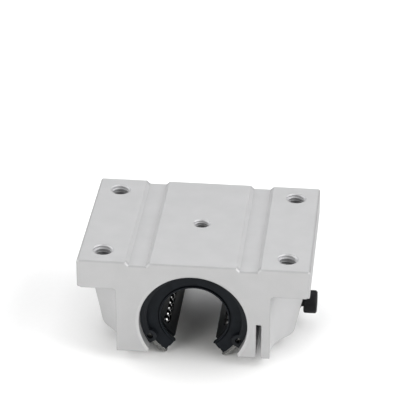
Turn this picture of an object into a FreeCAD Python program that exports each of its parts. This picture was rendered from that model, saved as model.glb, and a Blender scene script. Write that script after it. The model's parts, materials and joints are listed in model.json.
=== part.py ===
"""Open linear bearing block: a flanged housing clamped around a ball bearing with a gap for the rail.

Millimetres and degrees. The origin is on the shaft axis at mid-length. +X points to the side with the
adjusting screw, +Y runs along the shaft and +Z points up to the mounting face.
"""
import FreeCAD, Part
import math
import os

Vector = FreeCAD.Vector

# Shaft and bearing
SHAFT_DIAMETER = 20.0
BEARING_DIAMETER = 32.0
BEARING_LENGTH = 42.0

# Gaps in the bearing's pieces, each from straight down to one cut face
SLEEVE_GAP_ANGLE = 34.0
RETAINER_GAP_ANGLE = 35.5
LIP_GAP_ANGLE = 34.2
SEAL_GAP_ANGLE = 34.7
SEAL_RIM_GAP_ANGLE = 36.0
STOP_RING_GAP_ANGLE = 42.0

# Balls and their tracks
BALL_SECTION_SHARE = 0.5  # the balls' part of the room between shaft and housing bore
LOWER_ROW_ANGLE = -33.0  # loaded row beside the gap, from the horizontal
UPPER_ROW_ANGLE = 39.0  # loaded row near the top, from the horizontal
RETURN_STEP_ANGLE = 19.0  # from a loaded row up to its return row
RETURN_LIFT = 1.4  # how far the return row is lifted off the shaft
TRACK_END_WALL = 0.9  # retainer left beyond the turn of a track
FREE_BALL_PLACES = 1  # left empty in each loop, so that the balls run freely

# Retainer, seals and stop rings
RETAINER_LIFT = 0.45  # retainer's inside above the shaft
SEAL_THICKNESS = 1.6
SEAL_RECESS = 0.1  # seal's face behind the sleeve's end
SEAL_RIM_WIDTH = 1.7
SEAL_GROOVE_WIDTH = 0.35  # around the lip
SEAL_GROOVE_DEPTH = 0.5
LIP_CLEARANCE = 0.05  # seal lip above the shaft
LIP_REACH = 0.4  # lip's edge in front of the seal's face
LIP_WIDTH = 0.5
LIP_THICKNESS = 0.4  # radial
SLEEVE_RIM = 1.4  # wall around the seal
SLEEVE_EDGE_CHAMFER = 0.8
SEAL_LAND = 0.5  # wall between seal and stop ring
STOP_RING_THICKNESS = 0.8
STOP_RING_WIDTH = 1.7
STOP_RING_GROOVE_DEPTH = 1.0

# Circlips
CIRCLIP_THICKNESS = 1.2
CIRCLIP_WIDTH = 2.7
CIRCLIP_GROOVE_DEPTH = 0.85
CIRCLIP_END_ANGLE = -34.5
CIRCLIP_HOLE_ANGLE = -27.0
CIRCLIP_HOLE_INSET = 2.1  # hole centre inside the ring's outer edge
CIRCLIP_HOLE_DIAMETER = 1.9
CIRCLIP_LUG_RADIUS = 2.0

# Housing
BLOCK_WIDTH = 68.0
BLOCK_LENGTH = 51.0
AXIS_TO_TOP = 20.0
AXIS_TO_BASE = 10.35
FLANGE_THICKNESS = 9.0
FLANGE_TOP_RADIUS = 0.8
FLANGE_UNDER_RADIUS = 0.5
SIDE_STEP = 0.7  # flange edge outside the top of the sloping side
SIDE_LEAN = 12.3
BASE_CORNER_RADIUS = 2.2
END_CHAMFER = 0.4
BORE_CHAMFER_WIDTH = 0.8  # radial
BORE_CHAMFER_DEPTH = 0.3  # along the shaft
LEG_TIP_RELIEF_HEIGHT = 1.1
LEG_TIP_RELIEF_WIDTH = 0.7
TOP_GROOVE_OFFSET = 16.15
TOP_GROOVE_FLOOR = 5.1
TOP_GROOVE_DEPTH = 1.0

# Adjusting slot, and the walls on either side of it at the ends of the block
SLOT_INNER_WALL = 2.5
SLOT_WIDTH = 1.6
SLOT_OUTER_WALL = 2.5
SLOT_ABOVE_AXIS = 1.25

# Notches under the four corners of the flange
NOTCH_LENGTH = 16.7
NOTCH_RADIUS = 13.2
NOTCH_CEILING_RADIUS = 1.0

# Mounting holes, and the lube hole with the groove below it in the bore and the feed hole in the bearing
HOLE_SPACING_X = 54.0
HOLE_SPACING_Y = 37.0
HOLE_DIAMETER = 6.0
HOLE_CHAMFER = 0.15
LUBE_HOLE_DIAMETER = 5.0
LUBE_GROOVE_MARGIN = 0.5  # how far the groove reaches past the lube hole
LUBE_GROOVE_DEPTH = 0.5
LUBE_FEED_DIAMETER = 2.5

# Adjusting screw
SCREW_DIAMETER = 4.0
SCREW_HEAD_DIAMETER = 7.0
SCREW_HEAD_HEIGHT = 4.0
SCREW_HEAD_CHAMFER = 0.35
SCREW_SOCKET_WIDTH = 3.0
SCREW_SOCKET_DEPTH = 2.0
SCREW_ABOVE_BASE = 5.1
SCREW_STANDOFF = 1.35  # head's underside off the sloping side
SCREW_TIP_GAP = 0.4
SCREW_TIP_CHAMFER = 0.4

# Clearances
SEAT_CLEARANCE = 0.02  # pieces that locate each other
SIDE_CLEARANCE = 0.05  # rings in their grooves
TRACK_CLEARANCE = 0.1  # balls in their tracks
SCREW_CLEARANCE = 0.05  # screw in its hole, radial
BALL_SHAFT_CLEARANCE = 0.01
CUT_MARGIN = 2.0  # how far a cutting tool runs past the solid

# Radii that follow from the shaft and the bearing
shaft_radius = SHAFT_DIAMETER / 2
sleeve_radius = BEARING_DIAMETER / 2
ball_diameter = (sleeve_radius - shaft_radius) * BALL_SECTION_SHARE
ball_radius = ball_diameter / 2
bore_radius = sleeve_radius + SEAT_CLEARANCE
loaded_row_radius = shaft_radius + BALL_SHAFT_CLEARANCE + ball_radius
return_row_radius = loaded_row_radius + RETURN_LIFT
raceway_radius = loaded_row_radius + ball_radius + SEAT_CLEARANCE
track_radius = ball_radius + TRACK_CLEARANCE
seal_radius = sleeve_radius - SLEEVE_RIM - SEAT_CLEARANCE
lip_radius = shaft_radius + LIP_CLEARANCE

# Stations along the shaft, from mid-length to one end
bearing_end = BEARING_LENGTH / 2
block_end = BLOCK_LENGTH / 2
seal_face = bearing_end - SEAL_RECESS
seal_back = seal_face - SEAL_THICKNESS
lip_face = seal_face + LIP_REACH
seal_seat = seal_back - SIDE_CLEARANCE
stop_groove_end = seal_seat - SEAL_LAND
stop_ring_face = stop_groove_end - SIDE_CLEARANCE
stop_ring_back = stop_ring_face - STOP_RING_THICKNESS
stop_groove_start = stop_ring_back - SIDE_CLEARANCE
retainer_end = stop_ring_back - SIDE_CLEARANCE
circlip_back = bearing_end + SIDE_CLEARANCE
circlip_face = circlip_back + CIRCLIP_THICKNESS

# Places in the housing's section
top_z = AXIS_TO_TOP
base_z = -AXIS_TO_BASE
flange_z = top_z - FLANGE_THICKNESS
slot_inner_x = bore_radius + SLOT_INNER_WALL
slot_outer_x = slot_inner_x + SLOT_WIDTH
end_body_x = slot_outer_x + SLOT_OUTER_WALL
screw_z = base_z + SCREW_ABOVE_BASE


def side_x(z):
    """Half width of the sloping side at height z."""
    return BLOCK_WIDTH / 2 - SIDE_STEP - (flange_z - z) * math.tan(math.radians(SIDE_LEAN))


def polar(radius, angle, y=0.0):
    """Point around the shaft axis, with the angle from +X towards +Z."""
    turn = math.radians(angle)
    return Vector(radius * math.cos(turn), y, radius * math.sin(turn))


def rounded_wire(corners):
    """Closed wire through (point, radius) corners, with an arc at each corner that has a radius."""
    edges = []
    ends = []
    for index, (corner, radius) in enumerate(corners):
        before = (corners[index - 1][0] - corner).normalize()
        after = (corners[(index + 1) % len(corners)][0] - corner).normalize()
        if radius == 0:
            ends.append((corner, corner))
            continue
        half = before.getAngle(after) / 2
        reach = radius / math.tan(half)
        start = corner + before * reach
        end = corner + after * reach
        middle = corner + (before + after).normalize() * (radius / math.sin(half) - radius)
        edges.append(Part.Arc(start, middle, end).toShape())
        ends.append((start, end))
    for index, (start, _) in enumerate(ends):
        previous_end = ends[index - 1][1]
        if previous_end.distanceToPoint(start) > 1e-6:
            edges.append(Part.LineSegment(previous_end, start).toShape())
    return Part.Wire(Part.__sortEdges__(edges))


def polygon_face(points):
    """Plane face with straight sides."""
    return Part.Face(Part.makePolygon(points + points[:1]))


def open_ring(section, gap_angle):
    """Ring around the shaft, from (radius, y) corners, open by gap_angle each side of straight down."""
    start_angle = gap_angle - 90
    face = polygon_face([polar(radius, start_angle, y) for radius, y in section])
    return face.revolve(Vector(), Vector(0, -1, 0), 360 - 2 * gap_angle)


def rod(radius, start, direction, length):
    """Cylinder from a start point."""
    return Part.makeCylinder(radius, length, start, direction)


def mirrored_rear(shape):
    """The same piece at the other end of the block."""
    return shape.mirror(Vector(), Vector(0, 1, 0))


def mirrored_left(shape):
    """The same piece on the other side of the shaft."""
    return shape.mirror(Vector(), Vector(1, 0, 0))


class Track:
    """Closed loop of balls: a loaded row, a return row and a half circle at each end."""

    def __init__(self, loaded_angle, return_angle):
        self.loaded = polar(loaded_row_radius, loaded_angle)
        self.returning = polar(return_row_radius, return_angle)
        self.middle = (self.loaded + self.returning) * 0.5
        self.across = (self.returning - self.loaded).normalize()
        self.turn_radius = self.loaded.distanceToPoint(self.returning) / 2
        self.row_half = retainer_end - TRACK_END_WALL - track_radius - self.turn_radius
        self.ball_angle = 2 * math.asin(ball_radius / self.turn_radius)  # of one ball in a turn
        self.turn_room = math.pi * ball_diameter / self.ball_angle  # a turn's length, counted in balls
        self.room = 4 * self.row_half + 2 * self.turn_room

    def point(self, distance):
        """Place on the loop at a distance from the middle of the loaded row."""
        row = 2 * self.row_half
        distance = (distance + self.row_half) % self.room
        if distance < row:
            return self.loaded + Vector(0, distance - self.row_half, 0)
        distance -= row
        if distance < self.turn_room:
            return self.turn_point(math.pi * distance / self.turn_room, 1)
        distance -= self.turn_room
        if distance < row:
            return self.returning + Vector(0, self.row_half - distance, 0)
        return self.turn_point(math.pi - math.pi * (distance - row) / self.turn_room, -1)

    def turn_point(self, angle, end):
        """Place on the half circle at one end, with the angle from the loaded row."""
        along = Vector(0, end * (self.row_half + self.turn_radius * math.sin(angle)), 0)
        return self.middle - self.across * (self.turn_radius * math.cos(angle)) + along

    def balls(self):
        """Steel balls, evenly spaced from the middle of the loaded row."""
        count = int(self.room / ball_diameter) - FREE_BALL_PLACES
        places = [self.point(index * self.room / count) for index in range(count)]
        return Part.makeCompound([Part.makeSphere(ball_radius, place) for place in places])

    def channel(self):
        """Tool that clears the loop in the retainer and the sleeve."""
        back = Vector(0, -self.row_half, 0)
        along = Vector(0, 1, 0)
        row_length = 2 * self.row_half
        rows = [rod(track_radius, row + back, along, row_length) for row in (self.loaded, self.returning)]
        axis = self.across.cross(along)
        turns = []
        for end in (1, -1):
            centre = self.middle + Vector(0, end * self.row_half, 0)
            ring = Part.makeTorus(self.turn_radius, track_radius, centre, axis)
            reach = self.turn_radius + track_radius + CUT_MARGIN
            half = Part.makeBox(2 * reach, reach, 2 * reach, Vector(-reach, 0, -reach))
            half.Placement = FreeCAD.Placement(centre, FreeCAD.Rotation(self.across, along * end, axis * end))
            turns.append(ring.common(half))
        return rows[0].fuse(rows[1:] + turns)


def tracks():
    """The four loops, the left pair mirroring the right pair."""
    right = [(row, row + RETURN_STEP_ANGLE) for row in (LOWER_ROW_ANGLE, UPPER_ROW_ANGLE)]
    left = [(180 - loaded, 180 - returning) for loaded, returning in right]
    return [Track(*angles) for angles in right + left]


def lube_feed():
    """Tool for the hole that leads grease through the sleeve and the retainer to the shaft."""
    start = Vector(0, 0, shaft_radius)
    return rod(LUBE_FEED_DIAMETER / 2, start, Vector(0, 0, 1), sleeve_radius - shaft_radius)


def bearing_sleeve(cutters):
    """Hardened sleeve with a seat for the seal, a groove for the stop ring and the raceways."""
    seat_radius = seal_radius + SEAT_CLEARANCE
    groove_radius = raceway_radius + STOP_RING_GROOVE_DEPTH
    front_half = [
        (raceway_radius, stop_groove_start),
        (groove_radius, stop_groove_start),
        (groove_radius, stop_groove_end),
        (raceway_radius, stop_groove_end),
        (raceway_radius, seal_seat),
        (seat_radius, seal_seat),
        (seat_radius, bearing_end),
        (sleeve_radius - SLEEVE_EDGE_CHAMFER, bearing_end),
        (sleeve_radius, bearing_end - SLEEVE_EDGE_CHAMFER),
    ]
    section = front_half + [(radius, -y) for radius, y in reversed(front_half)]
    return open_ring(section, SLEEVE_GAP_ANGLE).cut(cutters)


def ball_retainer(cutters):
    """Moulded cage between the stop rings, open along the loaded rows."""
    inner = shaft_radius + RETAINER_LIFT
    outer = raceway_radius - SEAT_CLEARANCE
    section = [(inner, -retainer_end), (outer, -retainer_end), (outer, retainer_end), (inner, retainer_end)]
    return open_ring(section, RETAINER_GAP_ANGLE).cut(cutters)


def front_seal():
    """Rubber seal with a grooved face and a thin lip, whose ends step back from the lip to the rim."""
    lip_outer = lip_radius + LIP_THICKNESS
    groove_outer = lip_outer + SEAL_GROOVE_WIDTH
    groove_floor = seal_face - SEAL_GROOVE_DEPTH
    rim_inner = seal_radius - SEAL_RIM_WIDTH
    lip = [
        (lip_radius, -lip_face),
        (lip_outer, -lip_face),
        (lip_outer, -seal_back),
        (lip_radius, -lip_face + LIP_WIDTH),
    ]
    body = [
        (lip_outer, -groove_floor),
        (groove_outer, -groove_floor),
        (groove_outer, -seal_face),
        (rim_inner, -seal_face),
        (rim_inner, -seal_back),
        (lip_outer, -seal_back),
    ]
    rim = [
        (rim_inner, -seal_face),
        (seal_radius, -seal_face),
        (seal_radius, -seal_back),
        (rim_inner, -seal_back),
    ]
    bands = [open_ring(body, SEAL_GAP_ANGLE), open_ring(rim, SEAL_RIM_GAP_ANGLE)]
    return open_ring(lip, LIP_GAP_ANGLE).fuse(bands).removeSplitter()


def front_stop_ring():
    """Flat ring sprung into the sleeve in front of the retainer."""
    outer = raceway_radius + STOP_RING_GROOVE_DEPTH - SIDE_CLEARANCE
    inner = outer - STOP_RING_WIDTH
    section = [
        (inner, -stop_ring_face),
        (outer, -stop_ring_face),
        (outer, -stop_ring_back),
        (inner, -stop_ring_back),
    ]
    return open_ring(section, STOP_RING_GAP_ANGLE)


def front_circlip():
    """Internal circlip with a wide gap and a drilled lug at each end."""
    outer = bore_radius + CIRCLIP_GROOVE_DEPTH - SIDE_CLEARANCE
    inner = outer - CIRCLIP_WIDTH
    section = [(inner, -circlip_face), (outer, -circlip_face), (outer, -circlip_back), (inner, -circlip_back)]
    ring = open_ring(section, 90 + CIRCLIP_END_ANGLE)
    lug_start = polar(outer - CIRCLIP_HOLE_INSET, CIRCLIP_HOLE_ANGLE, -circlip_face)
    along = Vector(0, 1, 0)
    lug = rod(CIRCLIP_LUG_RADIUS, lug_start, along, CIRCLIP_THICKNESS)
    hole = rod(CIRCLIP_HOLE_DIAMETER / 2, lug_start, along, CIRCLIP_THICKNESS)
    ring = ring.fuse([lug, mirrored_left(lug)]).cut([hole, mirrored_left(hole)])
    return ring.removeSplitter()


def housing_section():
    """Outline of the extrusion across the shaft, with the two grooves in its top."""
    half_width = BLOCK_WIDTH / 2
    floor_inner = TOP_GROOVE_OFFSET - TOP_GROOVE_FLOOR / 2
    floor_outer = TOP_GROOVE_OFFSET + TOP_GROOVE_FLOOR / 2
    floor_z = top_z - TOP_GROOVE_DEPTH
    right = [
        (floor_inner - TOP_GROOVE_DEPTH, top_z, 0),
        (floor_inner, floor_z, 0),
        (floor_outer, floor_z, 0),
        (floor_outer + TOP_GROOVE_DEPTH, top_z, 0),
        (half_width, top_z, FLANGE_TOP_RADIUS),
        (half_width, flange_z, FLANGE_UNDER_RADIUS),
        (side_x(flange_z), flange_z, 0),
        (side_x(base_z), base_z, BASE_CORNER_RADIUS),
    ]
    left = [(-x, z, radius) for x, z, radius in reversed(right)]
    return Part.Face(rounded_wire([(Vector(x, -block_end, z), radius) for x, z, radius in right + left]))


def hole_tool(radius, x, y, bottom_z):
    """Drill from the top face with a chamfered mouth."""
    depth = top_z - bottom_z
    mouth = Part.makeCone(radius, radius + HOLE_CHAMFER, HOLE_CHAMFER, Vector(x, y, top_z - HOLE_CHAMFER))
    return rod(radius, Vector(x, y, bottom_z), Vector(0, 0, 1), depth).fuse(mouth)


def bore_tools():
    """Bore, its chamfered mouths, the circlip and lube grooves and the mouth between the legs."""
    along = Vector(0, 1, 0)
    bore = rod(bore_radius, Vector(0, -block_end, 0), along, BLOCK_LENGTH)
    mouth_radius = bore_radius + BORE_CHAMFER_WIDTH
    mouth = Part.makeCone(mouth_radius, bore_radius, BORE_CHAMFER_DEPTH, Vector(0, -block_end, 0), along)
    groove_width = CIRCLIP_THICKNESS + 2 * SIDE_CLEARANCE
    groove = rod(bore_radius + CIRCLIP_GROOVE_DEPTH, Vector(0, bearing_end, 0), along, groove_width)
    lube_width = LUBE_HOLE_DIAMETER + 2 * LUBE_GROOVE_MARGIN
    lube_groove = rod(bore_radius + LUBE_GROOVE_DEPTH, Vector(0, -lube_width / 2, 0), along, lube_width)
    relief_z = base_z + LEG_TIP_RELIEF_HEIGHT
    tip_x = math.sqrt(bore_radius**2 - relief_z**2)
    gap = polygon_face(
        [
            Vector(-tip_x, -block_end, relief_z),
            Vector(tip_x, -block_end, relief_z),
            Vector(tip_x + LEG_TIP_RELIEF_WIDTH, -block_end, base_z),
            Vector(-tip_x - LEG_TIP_RELIEF_WIDTH, -block_end, base_z),
        ]
    ).extrude(Vector(0, BLOCK_LENGTH, 0))
    return [bore, mouth, mirrored_rear(mouth), groove, mirrored_rear(groove), lube_groove, gap]


def notch_tools():
    """Cutters for the spaces under the flange's corners, with a milled inner corner and a rounded ceiling."""
    outer = BLOCK_WIDTH / 2 + NOTCH_RADIUS + CUT_MARGIN
    front = -block_end - CUT_MARGIN
    back = -block_end + NOTCH_LENGTH
    plan = rounded_wire(
        [
            (Vector(end_body_x, front, flange_z), 0),
            (Vector(end_body_x, back, flange_z), NOTCH_RADIUS),
            (Vector(outer, back, flange_z), 0),
            (Vector(outer, front, flange_z), 0),
        ]
    )
    walls = Part.Face(plan).extrude(Vector(0, 0, base_z - CUT_MARGIN - flange_z))
    ceiling = [
        edge
        for edge in walls.Edges
        if edge.BoundBox.ZMin > flange_z - 1e-6
        and edge.BoundBox.YMax > -block_end
        and edge.BoundBox.XMin < BLOCK_WIDTH / 2
    ]
    right = walls.makeFillet(NOTCH_CEILING_RADIUS, ceiling)
    pair = [right, mirrored_left(right)]
    return pair + [mirrored_rear(tool) for tool in pair]


def screw_hole():
    """Hole across the outer leg, from the slot to the sloping side."""
    start = Vector(slot_inner_x + SLOT_WIDTH / 2, 0, screw_z)
    return rod(SCREW_DIAMETER / 2 + SCREW_CLEARANCE, start, Vector(1, 0, 0), BLOCK_WIDTH / 2 - start.x)


def housing():
    """Extruded and machined block."""
    block = housing_section().extrude(Vector(0, BLOCK_LENGTH, 0))
    ends = [face for face in block.Faces if face.BoundBox.YLength < 1e-6]
    block = block.makeChamfer(END_CHAMFER, [edge for face in ends for edge in face.Edges])
    slot_height = SLOT_ABOVE_AXIS - base_z
    slot = Part.makeBox(SLOT_WIDTH, BLOCK_LENGTH, slot_height, Vector(slot_inner_x, -block_end, base_z))
    corner_hole = hole_tool(
        HOLE_DIAMETER / 2, HOLE_SPACING_X / 2, HOLE_SPACING_Y / 2, flange_z - NOTCH_CEILING_RADIUS
    )
    left_hole = mirrored_left(corner_hole)
    holes = [corner_hole, left_hole, mirrored_rear(corner_hole), mirrored_rear(left_hole)]
    lube_hole = hole_tool(LUBE_HOLE_DIAMETER / 2, 0, 0, 0)
    return block.cut(notch_tools() + bore_tools() + [slot, screw_hole(), lube_hole] + holes)


def adjusting_screw():
    """Socket-head cap screw, with its head off the side and its tip near the slot's inner wall."""
    outward = Vector(1, 0, 0)
    tip_x = slot_inner_x + SCREW_TIP_GAP
    head_x = side_x(screw_z) + SCREW_STANDOFF
    shank_radius = SCREW_DIAMETER / 2
    head_radius = SCREW_HEAD_DIAMETER / 2
    tip = Part.makeCone(
        shank_radius - SCREW_TIP_CHAMFER, shank_radius, SCREW_TIP_CHAMFER, Vector(tip_x, 0, screw_z), outward
    )
    shank_x = tip_x + SCREW_TIP_CHAMFER
    shank = rod(shank_radius, Vector(shank_x, 0, screw_z), outward, head_x - shank_x)
    head = rod(head_radius, Vector(head_x, 0, screw_z), outward, SCREW_HEAD_HEIGHT)
    head = head.makeChamfer(SCREW_HEAD_CHAMFER, [edge for edge in head.Edges if edge.Closed])
    socket_x = head_x + SCREW_HEAD_HEIGHT - SCREW_SOCKET_DEPTH
    corner_radius = SCREW_SOCKET_WIDTH / math.sqrt(3)
    corners = []
    for index in range(6):
        turn = math.radians(60 * index)
        offset = Vector(0, corner_radius * math.cos(turn), corner_radius * math.sin(turn))
        corners.append(Vector(socket_x, 0, screw_z) + offset)
    socket = polygon_face(corners).extrude(outward * SCREW_SOCKET_DEPTH)
    return head.cut(socket).fuse([shank, tip]).removeSplitter()


def build():
    """All pieces by node name."""
    loops = tracks()
    cutters = [loop.channel() for loop in loops] + [lube_feed()]
    pieces = {
        "housing": housing(),
        "bearing_sleeve": bearing_sleeve(cutters),
        "ball_retainer": ball_retainer(cutters),
        "adjusting_screw": adjusting_screw(),
    }
    paired = {"seal": front_seal(), "stop_ring": front_stop_ring(), "circlip": front_circlip()}
    for name, piece in paired.items():
        pieces[name + "_front"] = piece
        pieces[name + "_rear"] = mirrored_rear(piece)
    for number, loop in enumerate(loops, start=1):
        pieces[f"ball_circuit_{number}"] = loop.balls()
    return pieces


os.makedirs("parts", exist_ok=True)
for node, shape in build().items():
    shape.exportStep(f"parts/{node}.step")
    state = "valid" if shape.isValid() else "not valid"
    print(f"{node}: {len(shape.Solids)} solids, {state}, {shape.Volume:.2f} mm3")
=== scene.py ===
import json
import math

import bmesh
import bpy
from mathutils import Euler, Matrix, Vector


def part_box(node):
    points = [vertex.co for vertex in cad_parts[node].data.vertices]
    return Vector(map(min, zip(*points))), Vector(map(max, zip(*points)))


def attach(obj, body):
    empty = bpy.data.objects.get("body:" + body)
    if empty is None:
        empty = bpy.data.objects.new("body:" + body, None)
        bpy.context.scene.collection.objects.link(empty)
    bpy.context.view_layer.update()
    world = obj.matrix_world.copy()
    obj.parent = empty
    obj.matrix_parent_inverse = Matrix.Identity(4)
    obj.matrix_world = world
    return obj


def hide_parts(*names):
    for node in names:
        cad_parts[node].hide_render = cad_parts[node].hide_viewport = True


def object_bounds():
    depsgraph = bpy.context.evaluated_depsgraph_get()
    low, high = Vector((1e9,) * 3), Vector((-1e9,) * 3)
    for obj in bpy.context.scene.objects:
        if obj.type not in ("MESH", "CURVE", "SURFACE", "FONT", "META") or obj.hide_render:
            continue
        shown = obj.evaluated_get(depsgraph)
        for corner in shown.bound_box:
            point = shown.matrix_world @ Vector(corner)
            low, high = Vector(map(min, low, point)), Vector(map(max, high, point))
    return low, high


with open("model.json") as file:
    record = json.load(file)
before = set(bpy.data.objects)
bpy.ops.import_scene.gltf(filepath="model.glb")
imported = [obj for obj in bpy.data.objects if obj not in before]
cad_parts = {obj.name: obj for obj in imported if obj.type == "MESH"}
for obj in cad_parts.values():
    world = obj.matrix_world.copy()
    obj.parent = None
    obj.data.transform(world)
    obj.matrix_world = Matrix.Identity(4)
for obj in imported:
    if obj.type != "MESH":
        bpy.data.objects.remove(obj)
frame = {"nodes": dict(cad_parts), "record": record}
cad_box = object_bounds()

# Open linear bearing block: finishes for every solid, and the tapped threads and the adjusting
# screw in detail. Metres, in the frame's own axes: +X to the adjusting screw, +Y along the shaft
# and +Z to the mounting face.
MM = 0.001

# Camera, fitted to the photograph's edges, with angles in radians
CAMERA_PLACE = (0.057412, -0.546272, 0.329012)
CAMERA_PITCH_DOWN = 0.50616
CAMERA_HEADING = 0.10033
CAMERA_ROLL = 0.00264
CAMERA_LENS = 180.92  # lens and sensor in millimetres, as Blender counts them
CAMERA_SENSOR = 36.0
CAMERA_CLIP_START = 0.01

# Studio
FLOOR_SIZE = 6.0
ROOM_LIGHT = 0.03
LAMP_DISTANCE = 0.8
LAMP_SIZE = 0.5
LOW_LAMP_SIZE = 0.4
HIGH_LAMP_DISTANCE = 0.9
HIGH_LAMP_SIZE = 0.6
NEUTRAL = (1.0, 1.0, 1.0)
WARM = (1.0, 0.995, 0.975)
COOL = (0.985, 0.99, 1.0)

# Detailed pieces
SMOOTH_ANGLE = 32  # degrees between two faces, beyond which their edge stays sharp

# Tapped holes
METRIC_DEPTH = 0.5413  # depth of an internal thread, in pitches
METRIC_CREST = 0.25  # width of its crest, in pitches
METRIC_ROOT = 0.875  # width of its foot, in pitches
CORNER_PITCH = 1.0 * MM
LUBE_PITCH = 0.8 * MM
THREAD_STEPS = 48  # sections in one turn
THREAD_TAPER = 0.4  # turns over which a thread runs out at the bottom
THREAD_SINK = 0.03 * MM  # foot of the thread inside the wall
THREAD_LEAD = 0.3 * MM  # depth of the uppermost ridge at a hole's rear
THREAD_CLEAR = 0.02 * MM  # least height of a ridge that is cut at the mouth
THREAD_EXIT = 0.25 * MM  # plain length above the flange's underside
HOLE_CHAMFER = 0.15 * MM
FLANGE_THICKNESS = 9.0 * MM
PAINTED_DEPTH_SHADE = 0.8  # painted shade in the depth of the thread, as a share of the colour at the mouth
PAINTED_SHADE_START = 1.0 * MM  # depths between which the painted shade sets in
PAINTED_SHADE_END = 3.0 * MM

# Adjusting screw
SCREW_PITCH = 0.7 * MM
SCREW_DEPTH = 0.6134  # depth of an external thread, in pitches
SCREW_CREST = 0.125  # width of its crest, in pitches
SCREW_FLANK = 0.3125  # width of one flank, in pitches
SCREW_RADIUS = 2.0 * MM
SCREW_HEAD_HEIGHT = 4.0 * MM
SCREW_HEAD_CHAMFER = 0.35 * MM
SCREW_TIP_CHAMFER = 0.4 * MM
SCREW_SOCKET_WIDTH = 3.0 * MM
SCREW_SOCKET_DEPTH = 2.0 * MM
SCREW_SOCKET_CHAMFER = 0.2 * MM
SCREW_SOCKET_LAND = 0.02 * MM  # from the hexagon's corners to the round mouth
SCREW_SOCKET_CONE = 0.5 * MM
SCREW_NECK = 0.35 * MM  # plain length below the head
SCREW_RINGS_PER_PITCH = 14
KNURL_RIDGES = 48
KNURL_DEPTH = 0.1 * MM
SCREW_SPOKES = 2 * KNURL_RIDGES  # points in one ring
HEXAGON_STEP = 60  # degrees from corner to corner

# Housing: a turned bore with a painted highlight on its rim, and painted shade on the outer edges, the
# notch edges and the flange sides
BORE_WALL_RADIUS = 16.1 * MM
BORE_RIM_RADIUS = 16.9 * MM  # outside of the bore's chamfer
# painted highlight on the bore's rim
PAINTED_RIM_HIGHLIGHT = 1.08
OUTLINE_X = 31.5 * MM  # the outer edges lie beyond this X or this Y
OUTLINE_Y = 23.5 * MM
# painted shade on the outer chamfers and rounded edges
PAINTED_EDGE_SHADE = 0.86
NOTCH_TOP = 11.3 * MM  # the notches' sharp edges lie below it
NOTCH_EDGE_WIDTH = 0.3 * MM
# painted shade along the notches' sharp edges
PAINTED_NOTCH_EDGE_SHADE = 0.72
SIDE_X = 33.0 * MM  # the flange's two sides lie beyond it
# painted shade on the flange's two sides
PAINTED_SIDE_SHADE = 0.74
PLACE_BLEND = 0.5 * MM
RADIUS_BLEND = 0.05 * MM

# Darker top of the sleeve under the lube hole, and painted shade on the balls of one side
SLEEVE_DARK_HEIGHT = 15.2 * MM
DARKENING_BLEND = 0.3 * MM
SLEEVE_TOP_SHADE = 0.12
SLEEVE_END_PAINTED_SHADE = 0.4  # painted shade on the end faces
# painted shade on the balls towards +X
BALL_PAINTED_SHADE = 0.2

# Limits between which a texture or a mask goes from one end of its range to the other
NOISE_LIMITS = (0.3, 0.7)
SHARE_LIMITS = (0.0, 1.0)
UPRIGHT_LIMITS = (0.3, 0.45)  # Z of the normal, below which a face is upright
LEVEL_LIMITS = (0.93, 0.99)  # Z of the normal, above which a face is level
CORNER_LIMITS = (0.03, 0.15)  # X times Y of the normal, above which an edge turns a corner
SIDEWAYS_LIMITS = (0.5, 0.9)  # X of the normal, above which a face is a side
ENDWAYS_LIMITS = (0.8, 0.95)  # Y of the normal, above which a face is an end
SHARP_LIMITS = (0.85, 0.99)  # likeness of the face's and the rounded normal, below which an edge is near
BEVEL_SAMPLES = 6


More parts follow.
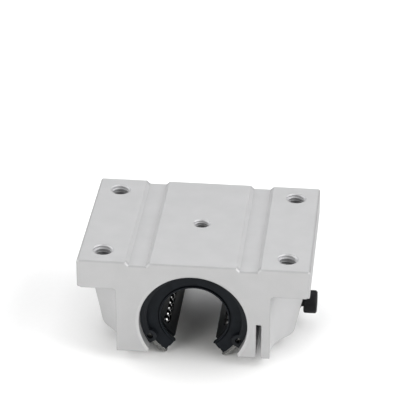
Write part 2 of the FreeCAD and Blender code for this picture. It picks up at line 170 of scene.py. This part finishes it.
class Finish:
    """Material under construction: a Principled shader fed by textures in object space."""

    def __init__(self, name, **sockets):
        self.material = bpy.data.materials.new(name)
        self.material.use_nodes = True
        self.nodes = self.material.node_tree.nodes
        self.links = self.material.node_tree.links
        self.shader = self.nodes["Principled BSDF"]
        for socket, value in sockets.items():
            self.shader.inputs[socket.replace("_", " ")].default_value = value
        coordinates = self.nodes.new("ShaderNodeTexCoord")
        self.place = coordinates.outputs["Object"]
        self.normal = coordinates.outputs["Normal"]

    def feed(self, socket, source):
        """Connects a texture to one of the shader's sockets."""
        self.links.new(source, self.shader.inputs[socket])

    def stretched(self, stretch):
        """Object coordinates squeezed along some axes, for grain that runs one way."""
        mapping = self.nodes.new("ShaderNodeMapping")
        mapping.inputs["Scale"].default_value = stretch
        self.links.new(self.place, mapping.inputs["Vector"])
        return mapping.outputs["Vector"]

    def noise(self, size, detail, place=None):
        """Cloudy texture with features of about the given size."""
        node = self.nodes.new("ShaderNodeTexNoise")
        node.inputs["Scale"].default_value = 1.0 / size
        node.inputs["Detail"].default_value = detail
        self.links.new(place or self.place, node.inputs["Vector"])
        return node.outputs["Fac"]

    def ramp(self, source, low, high, limits=NOISE_LIMITS):
        """Number that goes from low to high as the source goes from one limit to the other."""
        node = self.nodes.new("ShaderNodeMapRange")
        node.inputs["From Min"].default_value, node.inputs["From Max"].default_value = limits
        node.inputs["To Min"].default_value = low
        node.inputs["To Max"].default_value = high
        self.links.new(source, node.inputs["Value"])
        return node.outputs["Result"]

    def rising(self, source, limits):
        """Mask: nothing below the limits and one above them."""
        return self.ramp(source, 0, 1, limits)

    def falling(self, source, limits):
        """Mask: one below the limits and nothing above them."""
        return self.ramp(source, 1, 0, limits)

    def colours(self, source, low, high):
        """Colour that goes from low to high with a noise texture."""
        node = self.nodes.new("ShaderNodeValToRGB")
        for element, position, colour in zip(node.color_ramp.elements, NOISE_LIMITS, (low, high)):
            element.position = position
            element.color = (*colour, 1)
        self.links.new(source, node.inputs["Fac"])
        return node.outputs["Color"]

    def along(self, axis, vector):
        """Part of a vector along one of the object's axes."""
        node = self.nodes.new("ShaderNodeSeparateXYZ")
        self.links.new(vector, node.inputs["Vector"])
        return node.outputs[axis]

    def reach(self, axis, vector):
        """Part of a vector along one of the object's axes, without its sign."""
        return self.combined("ABSOLUTE", self.along(axis, vector))

    def combined(self, operation, first, second=None):
        """Number from one or two others."""
        node = self.nodes.new("ShaderNodeMath")
        node.operation = operation
        self.links.new(first, node.inputs[0])
        if second is not None:
            self.links.new(second, node.inputs[1])
        return node.outputs["Value"]

    def product(self, first, *others):
        """All of the numbers multiplied."""
        for other in others:
            first = self.combined("MULTIPLY", first, other)
        return first

    def mixed(self, share, low, high):
        """Number from the first texture to the second as the share goes from nothing to one."""
        node = self.nodes.new("ShaderNodeMix")
        self.links.new(share, node.inputs["Factor"])
        self.links.new(low, node.inputs["A"])
        self.links.new(high, node.inputs["B"])
        return node.outputs["Result"]

    def shaded(self, colour, share, factor):
        """Colour times the factor where the share is one, and the colour itself where it is nothing."""
        node = self.nodes.new("ShaderNodeVectorMath")
        node.operation = "SCALE"
        self.links.new(colour, node.inputs["Vector"])
        self.links.new(self.ramp(share, 1, factor, SHARE_LIMITS), node.inputs["Scale"])
        return node.outputs["Vector"]

    def rounded(self, radius):
        """Normal that turns gradually near sharp edges."""
        node = self.nodes.new("ShaderNodeBevel")
        node.samples = BEVEL_SAMPLES
        node.inputs["Radius"].default_value = radius
        return node.outputs["Normal"]

    def soften(self, radius):
        """Rounds the shading of sharp edges."""
        self.feed("Normal", self.rounded(radius))

    def bump(self, height, depth):
        """Adds relief of the given depth to the normal."""
        node = self.nodes.new("ShaderNodeBump")
        node.inputs["Distance"].default_value = depth
        self.links.new(height, node.inputs["Height"])
        if self.shader.inputs["Normal"].is_linked:
            self.links.new(self.shader.inputs["Normal"].links[0].from_socket, node.inputs["Normal"])
        self.feed("Normal", node.outputs["Normal"])


class HousingFinish(Finish):
    """Finish with masks for the regions of the housing."""

    def around_shaft(self, radius):
        """One inside the given radius around the shaft axis and nothing outside it."""
        length = self.nodes.new("ShaderNodeVectorMath")
        length.operation = "LENGTH"
        self.links.new(self.stretched((1.0, 0.0, 1.0)), length.inputs["Vector"])
        return self.falling(length.outputs["Value"], (radius - RADIUS_BLEND, radius + RADIUS_BLEND))

    def slanted(self):
        """One on chamfers and rounded edges, and nothing in corners or on level and upright faces."""
        steepness = self.reach("Z", self.normal)
        skew = self.product(self.along("X", self.normal), self.along("Y", self.normal))
        return self.product(
            self.rising(steepness, UPRIGHT_LIMITS),
            self.falling(steepness, LEVEL_LIMITS),
            self.falling(self.combined("ABSOLUTE", skew), CORNER_LIMITS),
        )

    def outline(self):
        """One near the block's front, rear and sides, and nothing further in."""
        near_side = self.rising(self.reach("X", self.place), (OUTLINE_X, OUTLINE_X + PLACE_BLEND))
        near_end = self.rising(self.reach("Y", self.place), (OUTLINE_Y, OUTLINE_Y + PLACE_BLEND))
        return self.combined("MAXIMUM", near_side, near_end)

    def sides(self):
        """One on the flange's two sides and nothing elsewhere."""
        return self.product(
            self.rising(self.reach("X", self.normal), SIDEWAYS_LIMITS),
            self.rising(self.reach("X", self.place), (SIDE_X, SIDE_X + PLACE_BLEND)),
        )

    def sharp(self, radius):
        """One at sharp edges, falling to nothing at the given distance from them."""
        geometry = self.nodes.new("ShaderNodeNewGeometry")
        likeness = self.nodes.new("ShaderNodeVectorMath")
        likeness.operation = "DOT_PRODUCT"
        self.links.new(self.rounded(radius), likeness.inputs[0])
        self.links.new(geometry.outputs["True Normal"], likeness.inputs[1])
        return self.falling(likeness.outputs["Value"], SHARP_LIMITS)

    def notch_edges(self):
        """One at the sharp edges below the flange and outside the bore, and nothing elsewhere."""
        return self.product(
            self.sharp(NOTCH_EDGE_WIDTH),
            self.falling(self.along("Z", self.place), (NOTCH_TOP, NOTCH_TOP + PLACE_BLEND)),
            self.falling(self.around_shaft(BORE_RIM_RADIUS), SHARE_LIMITS),
        )


def anodised_aluminium():
    """Sand-blasted and clear anodised: pale satin grey with a fine grain and a shinier turned bore, with
    painted shade on the outer edges, notch edges and flange sides, and a painted highlight on the bore's
    rim.
    """
    finish = HousingFinish("anodised_aluminium")
    turned = finish.around_shaft(BORE_WALL_RADIUS)
    outside = finish.combined("SUBTRACT", finish.outline(), turned)
    rim = finish.combined("SUBTRACT", finish.around_shaft(BORE_RIM_RADIUS), turned)
    cloud = finish.noise(size=6 * MM, detail=3)
    colour = finish.colours(cloud, low=(0.444, 0.444, 0.448), high=(0.466, 0.466, 0.470))
    # Painted shade on the outer chamfers and rounded edges
    colour = finish.shaded(colour, finish.product(finish.slanted(), outside), PAINTED_EDGE_SHADE)
    # Painted shade along the sharp edges of the notches
    colour = finish.shaded(colour, finish.notch_edges(), PAINTED_NOTCH_EDGE_SHADE)
    # Painted highlight on the bore's rim
    colour = finish.shaded(colour, rim, PAINTED_RIM_HIGHLIGHT)
    # Painted shade on the flange's two sides
    finish.feed("Base Color", finish.shaded(colour, finish.sides(), PAINTED_SIDE_SHADE))
    finish.feed("Metallic", finish.ramp(turned, low=0.5, high=0.65, limits=SHARE_LIMITS))
    grain = finish.noise(size=0.14 * MM, detail=2)
    blasted_roughness = finish.ramp(grain, low=0.58, high=0.68)
    turned_roughness = finish.ramp(grain, low=0.3, high=0.4)
    finish.feed("Roughness", finish.mixed(turned, blasted_roughness, turned_roughness))
    finish.soften(radius=0.12 * MM)
    rings = finish.noise(size=0.1 * MM, detail=1, place=finish.stretched((0.05, 1.0, 0.05)))
    finish.bump(finish.mixed(turned, grain, rings), depth=0.012 * MM)
    return finish.material


def tapped_aluminium():
    """Cut thread: brighter than the blasted faces, with lines along the cut and painted shade in the
    depth.
    """
    finish = Finish("tapped_aluminium", Metallic=0.7)
    lines = finish.noise(size=0.09 * MM, detail=2, place=finish.stretched((0.2, 0.2, 1.0)))
    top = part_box("housing")[1].z
    # Painted shade deeper in the hole, between the given depths
    oil = finish.falling(finish.along("Z", finish.place), (top - PAINTED_SHADE_END, top - PAINTED_SHADE_START))
    colour = finish.colours(lines, low=(0.43, 0.43, 0.44), high=(0.51, 0.51, 0.52))
    finish.feed("Base Color", finish.shaded(colour, oil, PAINTED_DEPTH_SHADE))
    finish.feed("Roughness", finish.ramp(lines, low=0.5, high=0.62))
    finish.bump(lines, depth=0.006 * MM)
    return finish.material


def bearing_steel():
    """Ground steel with fine lines around the shaft, darker on its top where the lube hole meets it, and
    with painted shade on its end faces.
    """
    finish = Finish("bearing_steel", Metallic=1.0)
    lines = finish.noise(size=0.12 * MM, detail=3, place=finish.stretched((0.12, 1.0, 0.12)))
    height = finish.along("Z", finish.place)
    # Darker on the top of the sleeve, under the lube hole
    darkening = finish.rising(height, (SLEEVE_DARK_HEIGHT, SLEEVE_DARK_HEIGHT + DARKENING_BLEND))
    # Painted shade on the sleeve's end faces
    ends = finish.rising(finish.reach("Y", finish.normal), ENDWAYS_LIMITS)
    colour = finish.colours(lines, low=(0.42, 0.42, 0.41), high=(0.53, 0.53, 0.51))
    colour = finish.shaded(colour, darkening, SLEEVE_TOP_SHADE)
    finish.feed("Base Color", finish.shaded(colour, ends, SLEEVE_END_PAINTED_SHADE))
    finish.feed("Roughness", finish.ramp(lines, low=0.22, high=0.34))
    finish.soften(radius=0.06 * MM)
    finish.bump(lines, depth=0.003 * MM)
    return finish.material


def ball_steel():
    """Polished balls under a thin film of oil, with painted shade and a rougher finish on the rows
    towards +X.
    """
    finish = Finish("ball_steel", Metallic=1.0)
    film = finish.noise(size=0.7 * MM, detail=1)
    # Painted shade on the balls towards +X, over their glints, with a rougher finish there
    darkening = finish.rising(finish.along("X", finish.place), (0, DARKENING_BLEND))
    colour = finish.colours(film, low=(0.34, 0.34, 0.34), high=(0.42, 0.42, 0.42))
    finish.feed("Base Color", finish.shaded(colour, darkening, BALL_PAINTED_SHADE))
    oiled_roughness = finish.ramp(film, low=0.05, high=0.12)
    dulled_roughness = finish.ramp(film, low=0.38, high=0.5)
    finish.feed("Roughness", finish.mixed(darkening, oiled_roughness, dulled_roughness))
    return finish.material


def black_finish(
    name, specular, low, high, cloud, detail, grain, roughness, rounding, relief, stretch=None
):
    """Black surface: clouds from a low to a high colour, and a fine grain in gloss and relief."""
    finish = Finish(name, Specular_IOR_Level=specular)
    clouds = finish.noise(cloud, detail, place=finish.stretched(stretch) if stretch else None)
    finish.feed("Base Color", finish.colours(clouds, low, high))
    grains = finish.noise(grain, detail=2)
    finish.feed("Roughness", finish.ramp(grains, *roughness))
    finish.soften(rounding)
    finish.bump(grains, relief)
    return finish.material


def black_resin():
    """Moulded cage: satin black with a faint flow pattern along the shaft."""
    return black_finish(
        "black_resin", specular=0.25, low=(0.0040, 0.0050, 0.0064), high=(0.0062, 0.0074, 0.0092),
        cloud=2.5 * MM, detail=3, stretch=(1.0, 0.35, 1.0),
        grain=0.16 * MM, roughness=(0.38, 0.5), rounding=0.08 * MM, relief=0.006 * MM,
    )


def black_rubber():
    """Moulded seal: matt, slightly blue black, with a dusty bloom."""
    return black_finish(
        "black_rubber", specular=0.15, low=(0.0045, 0.0062, 0.0085), high=(0.0070, 0.0092, 0.0125),
        cloud=1.8 * MM, detail=4,
        grain=0.12 * MM, roughness=(0.5, 0.65), rounding=0.08 * MM, relief=0.008 * MM,
    )


def spring_steel():
    """Phosphated circlip: dark grey with fine crystals."""
    return black_finish(
        "spring_steel", specular=0.2, low=(0.0058, 0.0073, 0.0095), high=(0.0095, 0.0116, 0.0148),
        cloud=1.2 * MM, detail=4,
        grain=0.08 * MM, roughness=(0.4, 0.55), rounding=0.1 * MM, relief=0.006 * MM,
    )


def screw_steel():
    """Black oxide with a trace of oil."""
    return black_finish(
        "screw_steel", specular=0.16, low=(0.0032, 0.0034, 0.0040), high=(0.0055, 0.0058, 0.0068),
        cloud=0.9 * MM, detail=3,
        grain=0.1 * MM, roughness=(0.35, 0.5), rounding=0.06 * MM, relief=0.005 * MM,
    )


def studio_floor():
    """Seamless white paper."""
    finish = Finish("studio_floor", Roughness=0.8)
    fibres = finish.noise(size=1.5 * MM, detail=3)
    paper = finish.colours(fibres, low=(0.845, 0.845, 0.845), high=(0.855, 0.855, 0.855))
    finish.feed("Base Color", paper)
    return finish.material


def dress_nodes(finishes):
    """Gives every solid its finish, by the slot that the record names for it."""
    for subpart in frame["record"]["subparts"]:
        for place in frame["nodes"][subpart["node"]].material_slots:
            place.material = finishes[subpart["material_slot"]]


def add_piece(name, mesh_data, body, material):
    """New object from a finished bmesh, riding on a body."""
    mesh = bpy.data.meshes.new(name)
    bmesh.ops.recalc_face_normals(mesh_data, faces=mesh_data.faces)
    mesh_data.to_mesh(mesh)
    mesh_data.free()
    mesh.shade_smooth()
    mesh.set_sharp_from_angle(angle=math.radians(SMOOTH_ANGLE))
    mesh.materials.append(material)
    piece = bpy.data.objects.new(name, mesh)
    bpy.context.scene.collection.objects.link(piece)
    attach(piece, body)
    return piece


def bridge(mesh_data, ring, other):
    """Quads between two rings of as many points."""
    for index in range(len(ring)):
        after = (index + 1) % len(ring)
        mesh_data.faces.new((ring[index], ring[after], other[after], other[index]))


def tapped_thread(name, centre, wall_radius, pitch, bottom, top, material):
    """Ridge that winds up a drilled hole, runs out below and is cut by the mouth's chamfer above."""
    half_crest = pitch * METRIC_CREST / 2
    half_root = pitch * METRIC_ROOT / 2
    foot_radius = wall_radius + THREAD_SINK
    first = bottom + half_root
    mouth = top - HOLE_CHAMFER
    rear_turn = (top - THREAD_LEAD - first) / pitch
    turns = (mouth - THREAD_CLEAR + half_crest - first) / pitch
    profile = ((-half_root, True), (-half_crest, False), (half_crest, False), (half_root, True))
    mesh_data = bmesh.new()
    rings = []
    for step in range(int(turns * THREAD_STEPS) + 1):
        turn = step / THREAD_STEPS
        angle = math.pi / 2 + 2 * math.pi * (turn - rear_turn)
        crest_radius = wall_radius - pitch * METRIC_DEPTH * min(1.0, turn / THREAD_TAPER)
        ring = []
        for rise, on_foot in profile:
            z = min(first + pitch * turn + rise, mouth)
            mouth_radius = wall_radius + HOLE_CHAMFER - (top - z)
            tip_radius = min(max(crest_radius, mouth_radius), wall_radius + THREAD_SINK / 2)
            radius = foot_radius if on_foot else tip_radius
            offset = Vector((radius * math.cos(angle), radius * math.sin(angle), z))
            ring.append(mesh_data.verts.new(centre + offset))
        rings.append(ring)
    for ring, other in zip(rings, rings[1:]):
        bridge(mesh_data, ring, other)
    mesh_data.faces.new(rings[0])
    mesh_data.faces.new(rings[-1])
    return add_piece(name, mesh_data, "block", material)


def tapped_threads(material):
    """Threads of the four corner holes and the lube port."""
    mounts = {mount["name"]: mount for mount in frame["record"]["mounts"]}
    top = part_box("housing")[1].z
    corner = mounts["mounting_holes"]["dims"]
    bottom = top - FLANGE_THICKNESS + THREAD_EXIT
    for side, x in (("right", 0.5), ("left", -0.5)):
        for end, y in (("front", -0.5), ("rear", 0.5)):
            centre = Vector((x * corner["spacing_x_mm"] * MM, y * corner["spacing_y_mm"] * MM, 0))
            tapped_thread(
                f"thread_{end}_{side}", centre, corner["hole_r_mm"] * MM, CORNER_PITCH,
                bottom, top, material,
            )
    port = mounts["lube_port"]
    port_bottom = port["pos_m"][2] - port["dims"]["length_mm"] * MM / 2 + THREAD_EXIT
    tapped_thread(
        "thread_lube_port", Vector((0, 0, 0)), port["dims"]["r_mm"] * MM, LUBE_PITCH,
        port_bottom, top, material,
    )


def round_ring(x, radius):
    """Places along and around the screw's axis, spoke by spoke, on a circle."""
    return [(x, radius)] * SCREW_SPOKES


def knurled_ring(x, radius):
    """The same around the head, where every second spoke lies in a groove."""
    return [(x, radius - KNURL_DEPTH * (spoke % 2)) for spoke in range(SCREW_SPOKES)]


def hexagon_ring(x):
    """The same around the socket."""
    ring = []
    for spoke in range(SCREW_SPOKES):
        turn = (360 * spoke / SCREW_SPOKES) % HEXAGON_STEP - HEXAGON_STEP / 2
        ring.append((x, SCREW_SOCKET_WIDTH / 2 / math.cos(math.radians(turn))))
    return ring


def threaded_ring(x, tip):
    """The same on the shank: one right-hand thread, cut by the chamfer at the tip."""
    ring = []
    for spoke in range(SCREW_SPOKES):
        phase = ((x - tip) / SCREW_PITCH - spoke / SCREW_SPOKES) % 1
        slope = min(1.0, max(0.0, (abs(phase - 0.5) - SCREW_CREST / 2) / SCREW_FLANK))
        radius = SCREW_RADIUS - SCREW_PITCH * SCREW_DEPTH * slope
        ring.append((x, min(radius, SCREW_RADIUS - SCREW_TIP_CHAMFER + x - tip)))
    return ring


def screw_rings(tip, end, head_radius):
    """Rings from the screw's tip over its head and into the socket."""
    core_radius = SCREW_RADIUS - SCREW_PITCH * SCREW_DEPTH
    head_start = end - SCREW_HEAD_HEIGHT
    shank_end = head_start - SCREW_NECK
    count = int((shank_end - tip) / SCREW_PITCH * SCREW_RINGS_PER_PITCH)
    return [
        round_ring(tip, core_radius),
        *[threaded_ring(tip + (shank_end - tip) * step / count, tip) for step in range(1, count)],
        round_ring(shank_end, core_radius),
        round_ring(head_start, core_radius),
        round_ring(head_start, head_radius - SCREW_HEAD_CHAMFER),
        knurled_ring(head_start + SCREW_HEAD_CHAMFER, head_radius),
        knurled_ring(end - SCREW_HEAD_CHAMFER - KNURL_DEPTH, head_radius),
        round_ring(end - SCREW_HEAD_CHAMFER, head_radius - KNURL_DEPTH),
        round_ring(end, head_radius - SCREW_HEAD_CHAMFER - KNURL_DEPTH),
        round_ring(end, SCREW_SOCKET_WIDTH / math.sqrt(3) + SCREW_SOCKET_LAND),
        hexagon_ring(end - SCREW_SOCKET_CHAMFER),
        hexagon_ring(end - SCREW_SOCKET_DEPTH),
    ]


def adjusting_screw(material):
    """Socket-head cap screw: threaded shank, knurled head and socket, as rings along its axis."""
    low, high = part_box("adjusting_screw")
    axis = Vector((0, (low.y + high.y) / 2, (low.z + high.z) / 2))
    mesh_data = bmesh.new()
    loops = []
    for ring in screw_rings(low.x, high.x, (high.z - low.z) / 2):
        loop = []
        for spoke, (x, radius) in enumerate(ring):
            angle = 2 * math.pi * spoke / SCREW_SPOKES
            offset = Vector((x, radius * math.cos(angle), radius * math.sin(angle)))
            loop.append(mesh_data.verts.new(axis + offset))
        loops.append(loop)
    for loop, other in zip(loops, loops[1:]):
        bridge(mesh_data, loop, other)
    socket_floor = high.x - SCREW_SOCKET_DEPTH - SCREW_SOCKET_CONE
    for loop, x in ((loops[0], low.x), (loops[-1], socket_floor)):
        middle = mesh_data.verts.new(axis + Vector((x, 0, 0)))
        for index in range(SCREW_SPOKES):
            mesh_data.faces.new((loop[index], loop[(index + 1) % SCREW_SPOKES], middle))
    piece = add_piece("adjusting_screw_detail", mesh_data, "screw", material)
    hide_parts("adjusting_screw")


def softbox(name, azimuth, elevation, power, distance=LAMP_DISTANCE, size=LAMP_SIZE, tint=NEUTRAL):
    """Square lamp that faces the block, with angles in degrees and the azimuth from +X towards +Y."""
    turn, rise = math.radians(azimuth), math.radians(elevation)
    level = distance * math.cos(rise)
    place = Vector((level * math.cos(turn), level * math.sin(turn), distance * math.sin(rise)))
    lamp = bpy.data.lights.new(name, "AREA")
    lamp.size = size
    lamp.energy = power
    lamp.color = tint
    holder = bpy.data.objects.new(name, lamp)
    holder.location = place
    holder.rotation_euler = (-place).to_track_quat("-Z", "Y").to_euler()
    bpy.context.scene.collection.objects.link(holder)


def high_softbox(name, elevation, power):
    """Large cool lamp high above the block, towards its rear."""
    softbox(
        name, azimuth=90, elevation=elevation, power=power,
        distance=HIGH_LAMP_DISTANCE, size=HIGH_LAMP_SIZE, tint=COOL,
    )


def studio():
    """White paper floor, softboxes all round and a faint even room."""
    bpy.ops.mesh.primitive_plane_add(size=FLOOR_SIZE, location=(0, 0, cad_box[0][2]))
    floor = bpy.context.object
    floor.name = "studio_floor"
    floor.data.materials.append(studio_floor())
    world = bpy.data.worlds.new("studio")
    world.use_nodes = True
    background = world.node_tree.nodes["Background"]
    background.inputs["Color"].default_value = (*NEUTRAL, 1)
    background.inputs["Strength"].default_value = ROOM_LIGHT
    bpy.context.scene.world = world
    softbox("right", azimuth=-10, elevation=42, power=2.95)
    softbox("right_low", azimuth=-20, elevation=20, power=2.5, size=LOW_LAMP_SIZE)
    softbox("right_back", azimuth=30, elevation=35, power=1.75)
    softbox("right_front", azimuth=-50, elevation=25, power=1.6, size=LOW_LAMP_SIZE, tint=WARM)
    softbox("left", azimuth=190, elevation=27, power=2.3)
    softbox("left_back", azimuth=150, elevation=35, power=1.85)
    softbox("left_front", azimuth=230, elevation=25, power=2.95, size=LOW_LAMP_SIZE, tint=WARM)
    high_softbox("top", elevation=88, power=1.7)
    high_softbox("back", elevation=55, power=2.45)


def camera():
    """Camera at the photograph's place."""
    data = bpy.data.cameras.new("camera")
    data.lens = CAMERA_LENS
    data.sensor_width = CAMERA_SENSOR
    data.clip_start = CAMERA_CLIP_START
    eye = bpy.data.objects.new("camera", data)
    eye.location = CAMERA_PLACE
    aim = Euler((math.pi / 2 - CAMERA_PITCH_DOWN, 0, CAMERA_HEADING)).to_matrix()
    eye.rotation_euler = (aim @ Matrix.Rotation(CAMERA_ROLL, 3, "Z")).to_euler()
    bpy.context.scene.collection.objects.link(eye)
    bpy.context.scene.camera = eye


finishes = {
    "anodised_aluminium": anodised_aluminium(),
    "bearing_steel": bearing_steel(),
    "ball_steel": ball_steel(),
    "black_resin": black_resin(),
    "black_rubber": black_rubber(),
    "spring_steel": spring_steel(),
    "screw_steel": screw_steel(),
}
dress_nodes(finishes)
tapped_threads(tapped_aluminium())
adjusting_screw(finishes["screw_steel"])
studio()
camera()
bpy.context.scene.view_settings.view_transform = "Standard"
